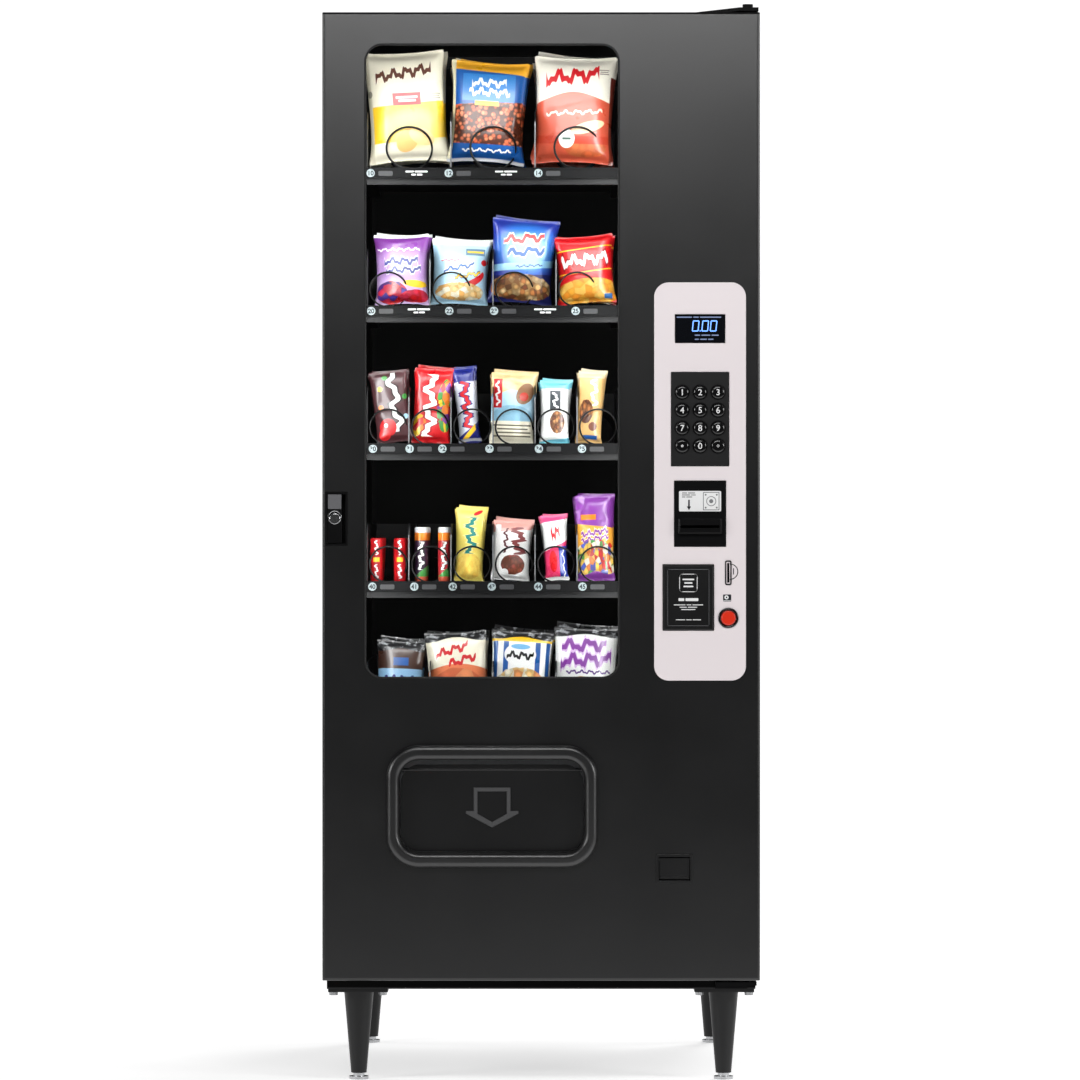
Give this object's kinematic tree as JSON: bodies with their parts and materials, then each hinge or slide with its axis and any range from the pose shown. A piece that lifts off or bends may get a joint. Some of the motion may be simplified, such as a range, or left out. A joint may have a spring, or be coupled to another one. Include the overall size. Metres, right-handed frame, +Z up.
{
  "type": "snack vending machine",
  "caption": "Tall glass-fronted snack vending machine on four tapered legs, with a hinged door, a keypad and coin panel, a delivery flap, and trays of motor-driven wire spirals.",
  "frame": {"origin": "on the floor under the middle of the machine's footprint", "axes": "+Z up, the window and door face -Y, +X to the right as seen from the front"},
  "size_m": [0.749, 0.889, 1.853],
  "materials": {
    "cabinet_shell": "satin powder coat, black",
    "back_panel": "zinc-coated sheet",
    "legs": "satin black paint",
    "levelling_feet": "zinc-plated",
    "leg_bolts": "zinc-plated",
    "hinge_brackets": "satin black paint",
    "trays": "satin black paint",
    "tray_dividers": "satin black paint",
    "price_rails": "black moulded plastic",
    "spiral_motors": "black moulded plastic",
    "door_shell": "finely textured black powder coat",
    "window_glass": "clear toughened glass",
    "control_panel": "pale silver fine-speckled finish",
    "display_module": "smoked screen in a black case",
    "keypad_bezel": "black moulded plastic",
    "bill_validator": "black moulded plastic",
    "info_panel": "black plastic with a printed face",
    "coin_return_button": "red moulded plastic",
    "coin_cup": "black moulded plastic",
    "coin_flap": "black moulded plastic",
    "delivery_bezel": "black textured plastic",
    "delivery_flap": "black textured plastic",
    "delivery_bin": "zinc-coated sheet",
    "lock_housing": "black moulded plastic",
    "lock_cylinder": "chromed",
    "key": "glossy black plastic with a printed symbol",
    "spiral": "black-coated spring wire"
  },
  "bodies": {
    "cabinet": {"cabinet_shell": "cabinet_shell", "back_panel": "back_panel", "legs": "legs", "levelling_feet": "levelling_feet", "leg_bolts": "leg_bolts", "hinge_brackets": "hinge_brackets", "trays": "trays", "tray_dividers": "tray_dividers", "price_rails": "price_rails", "spiral_motors": "spiral_motors"},
    "door": {"door_shell": "door_shell", "window_glass": "window_glass", "control_panel": "control_panel", "display_module": "display_module", "keypad_bezel": "keypad_bezel", "bill_validator": "bill_validator", "info_panel": "info_panel", "coin_cup": "coin_cup", "delivery_bezel": "delivery_bezel", "delivery_bin": "delivery_bin", "lock_housing": "lock_housing"},
    "coin_flap": {"coin_flap": "coin_flap"},
    "coin_return_button": {"coin_return_button": "coin_return_button"},
    "delivery_flap": {"delivery_flap": "delivery_flap"},
    "lock_cylinder": {"lock_cylinder": "lock_cylinder"},
    "key_1": {"key_1": "key"},
    "key_2": {"key_2": "key"},
    "key_3": {"key_3": "key"},
    "key_4": {"key_4": "key"},
    "key_5": {"key_5": "key"},
    "key_6": {"key_6": "key"},
    "key_7": {"key_7": "key"},
    "key_8": {"key_8": "key"},
    "key_9": {"key_9": "key"},
    "key_star": {"key_star": "key"},
    "key_0": {"key_0": "key"},
    "key_hash": {"key_hash": "key"},
    "spiral_1_1": {"spiral_1_1": "spiral"},
    "spiral_1_2": {"spiral_1_2": "spiral"},
    "spiral_1_3": {"spiral_1_3": "spiral"},
    "spiral_2_1": {"spiral_2_1": "spiral"},
    "spiral_2_2": {"spiral_2_2": "spiral"},
    "spiral_2_3": {"spiral_2_3": "spiral"},
    "spiral_2_4": {"spiral_2_4": "spiral"},
    "spiral_3_1": {"spiral_3_1": "spiral"},
    "spiral_3_2": {"spiral_3_2": "spiral"},
    "spiral_3_3": {"spiral_3_3": "spiral"},
    "spiral_3_4": {"spiral_3_4": "spiral"},
    "spiral_3_5": {"spiral_3_5": "spiral"},
    "spiral_3_6": {"spiral_3_6": "spiral"},
    "spiral_4_1": {"spiral_4_1": "spiral"},
    "spiral_4_2": {"spiral_4_2": "spiral"},
    "spiral_4_3": {"spiral_4_3": "spiral"},
    "spiral_4_4": {"spiral_4_4": "spiral"},
    "spiral_4_5": {"spiral_4_5": "spiral"},
    "spiral_4_6": {"spiral_4_6": "spiral"},
    "spiral_5_1": {"spiral_5_1": "spiral"},
    "spiral_5_2": {"spiral_5_2": "spiral"},
    "spiral_5_3": {"spiral_5_3": "spiral"},
    "spiral_5_4": {"spiral_5_4": "spiral"}
  },
  "joints": [
    {"name": "coin_flap_swing", "type": "hinge", "parent": "door", "child": "coin_flap", "pos_m": [0.228, -0.4275, 0.38725], "axis": [1, 0, 0], "range_deg": [0, 60]},
    {"name": "coin_return_press", "type": "slide", "parent": "door", "child": "coin_return_button", "axis": [0, 1, 0], "range_m": [0, 0.004]},
    {"name": "delivery_flap_swing", "type": "hinge", "parent": "door", "child": "delivery_flap", "pos_m": [-0.084, -0.4195, 0.5407], "axis": [1, 0, 0], "range_deg": [0, 60]},
    {"name": "door_swing", "type": "hinge", "parent": "cabinet", "child": "door", "pos_m": [0.3545, -0.3965, 1], "axis": [0, 0, 1], "range_deg": [0, 110]},
    {"name": "lock_cylinder_turn", "type": "hinge", "parent": "door", "child": "lock_cylinder", "pos_m": [-0.3532, -0.43, 0.9703], "axis": [0, 1, 0], "range_deg": [0, 90]},
    {"name": "key_1_press", "type": "slide", "parent": "door", "child": "key_1", "axis": [0, 1, 0], "range_m": [0, 0.002]},
    {"name": "key_2_press", "type": "slide", "parent": "door", "child": "key_2", "axis": [0, 1, 0], "range_m": [0, 0.002]},
    {"name": "key_3_press", "type": "slide", "parent": "door", "child": "key_3", "axis": [0, 1, 0], "range_m": [0, 0.002]},
    {"name": "key_4_press", "type": "slide", "parent": "door", "child": "key_4", "axis": [0, 1, 0], "range_m": [0, 0.002]},
    {"name": "key_5_press", "type": "slide", "parent": "door", "child": "key_5", "axis": [0, 1, 0], "range_m": [0, 0.002]},
    {"name": "key_6_press", "type": "slide", "parent": "door", "child": "key_6", "axis": [0, 1, 0], "range_m": [0, 0.002]},
    {"name": "key_7_press", "type": "slide", "parent": "door", "child": "key_7", "axis": [0, 1, 0], "range_m": [0, 0.002]},
    {"name": "key_8_press", "type": "slide", "parent": "door", "child": "key_8", "axis": [0, 1, 0], "range_m": [0, 0.002]},
    {"name": "key_9_press", "type": "slide", "parent": "door", "child": "key_9", "axis": [0, 1, 0], "range_m": [0, 0.002]},
    {"name": "key_star_press", "type": "slide", "parent": "door", "child": "key_star", "axis": [0, 1, 0], "range_m": [0, 0.002]},
    {"name": "key_0_press", "type": "slide", "parent": "door", "child": "key_0", "axis": [0, 1, 0], "range_m": [0, 0.002]},
    {"name": "key_hash_press", "type": "slide", "parent": "door", "child": "key_hash", "axis": [0, 1, 0], "range_m": [0, 0.002]},
    {"name": "spiral_1_1_turn", "type": "hinge", "parent": "cabinet", "child": "spiral_1_1", "pos_m": [-0.23067, 0, 1.619], "axis": [0, 1, 0], "range_deg": [0, 360]},
    {"name": "spiral_1_2_turn", "type": "hinge", "parent": "cabinet", "child": "spiral_1_2", "pos_m": [-0.084, 0, 1.619], "axis": [0, 1, 0], "range_deg": [0, 360]},
    {"name": "spiral_1_3_turn", "type": "hinge", "parent": "cabinet", "child": "spiral_1_3", "pos_m": [0.06267, 0, 1.619], "axis": [0, 1, 0], "range_deg": [0, 360]},
    {"name": "spiral_2_1_turn", "type": "hinge", "parent": "cabinet", "child": "spiral_2_1", "pos_m": [-0.267, 0, 1.371], "axis": [0, 1, 0], "range_deg": [0, 360]},
    {"name": "spiral_2_2_turn", "type": "hinge", "parent": "cabinet", "child": "spiral_2_2", "pos_m": [-0.157, 0, 1.371], "axis": [0, 1, 0], "range_deg": [0, 360]},
    {"name": "spiral_2_3_turn", "type": "hinge", "parent": "cabinet", "child": "spiral_2_3", "pos_m": [-0.047, 0, 1.371], "axis": [0, 1, 0], "range_deg": [0, 360]},
    {"name": "spiral_2_4_turn", "type": "hinge", "parent": "cabinet", "child": "spiral_2_4", "pos_m": [0.063, 0, 1.371], "axis": [0, 1, 0], "range_deg": [0, 360]},
    {"name": "spiral_3_1_turn", "type": "hinge", "parent": "cabinet", "child": "spiral_3_1", "pos_m": [-0.26733, 0, 1.131], "axis": [0, 1, 0], "range_deg": [0, 360]},
    {"name": "spiral_3_2_turn", "type": "hinge", "parent": "cabinet", "child": "spiral_3_2", "pos_m": [-0.194, 0, 1.131], "axis": [0, 1, 0], "range_deg": [0, 360]},
    {"name": "spiral_3_3_turn", "type": "hinge", "parent": "cabinet", "child": "spiral_3_3", "pos_m": [-0.12067, 0, 1.131], "axis": [0, 1, 0], "range_deg": [0, 360]},
    {"name": "spiral_3_4_turn", "type": "hinge", "parent": "cabinet", "child": "spiral_3_4", "pos_m": [-0.04733, 0, 1.131], "axis": [0, 1, 0], "range_deg": [0, 360]},
    {"name": "spiral_3_5_turn", "type": "hinge", "parent": "cabinet", "child": "spiral_3_5", "pos_m": [0.026, 0, 1.131], "axis": [0, 1, 0], "range_deg": [0, 360]},
    {"name": "spiral_3_6_turn", "type": "hinge", "parent": "cabinet", "child": "spiral_3_6", "pos_m": [0.09933, 0, 1.131], "axis": [0, 1, 0], "range_deg": [0, 360]},
    {"name": "spiral_4_1_turn", "type": "hinge", "parent": "cabinet", "child": "spiral_4_1", "pos_m": [-0.26733, 0, 0.891], "axis": [0, 1, 0], "range_deg": [0, 360]},
    {"name": "spiral_4_2_turn", "type": "hinge", "parent": "cabinet", "child": "spiral_4_2", "pos_m": [-0.194, 0, 0.891], "axis": [0, 1, 0], "range_deg": [0, 360]},
    {"name": "spiral_4_3_turn", "type": "hinge", "parent": "cabinet", "child": "spiral_4_3", "pos_m": [-0.12067, 0, 0.891], "axis": [0, 1, 0], "range_deg": [0, 360]},
    {"name": "spiral_4_4_turn", "type": "hinge", "parent": "cabinet", "child": "spiral_4_4", "pos_m": [-0.04733, 0, 0.891], "axis": [0, 1, 0], "range_deg": [0, 360]},
    {"name": "spiral_4_5_turn", "type": "hinge", "parent": "cabinet", "child": "spiral_4_5", "pos_m": [0.026, 0, 0.891], "axis": [0, 1, 0], "range_deg": [0, 360]},
    {"name": "spiral_4_6_turn", "type": "hinge", "parent": "cabinet", "child": "spiral_4_6", "pos_m": [0.09933, 0, 0.891], "axis": [0, 1, 0], "range_deg": [0, 360]},
    {"name": "spiral_5_1_turn", "type": "hinge", "parent": "cabinet", "child": "spiral_5_1", "pos_m": [-0.267, 0, 0.651], "axis": [0, 1, 0], "range_deg": [0, 360]},
    {"name": "spiral_5_2_turn", "type": "hinge", "parent": "cabinet", "child": "spiral_5_2", "pos_m": [-0.157, 0, 0.651], "axis": [0, 1, 0], "range_deg": [0, 360]},
    {"name": "spiral_5_3_turn", "type": "hinge", "parent": "cabinet", "child": "spiral_5_3", "pos_m": [-0.047, 0, 0.651], "axis": [0, 1, 0], "range_deg": [0, 360]},
    {"name": "spiral_5_4_turn", "type": "hinge", "parent": "cabinet", "child": "spiral_5_4", "pos_m": [0.063, 0, 0.651], "axis": [0, 1, 0], "range_deg": [0, 360]}
  ]
}
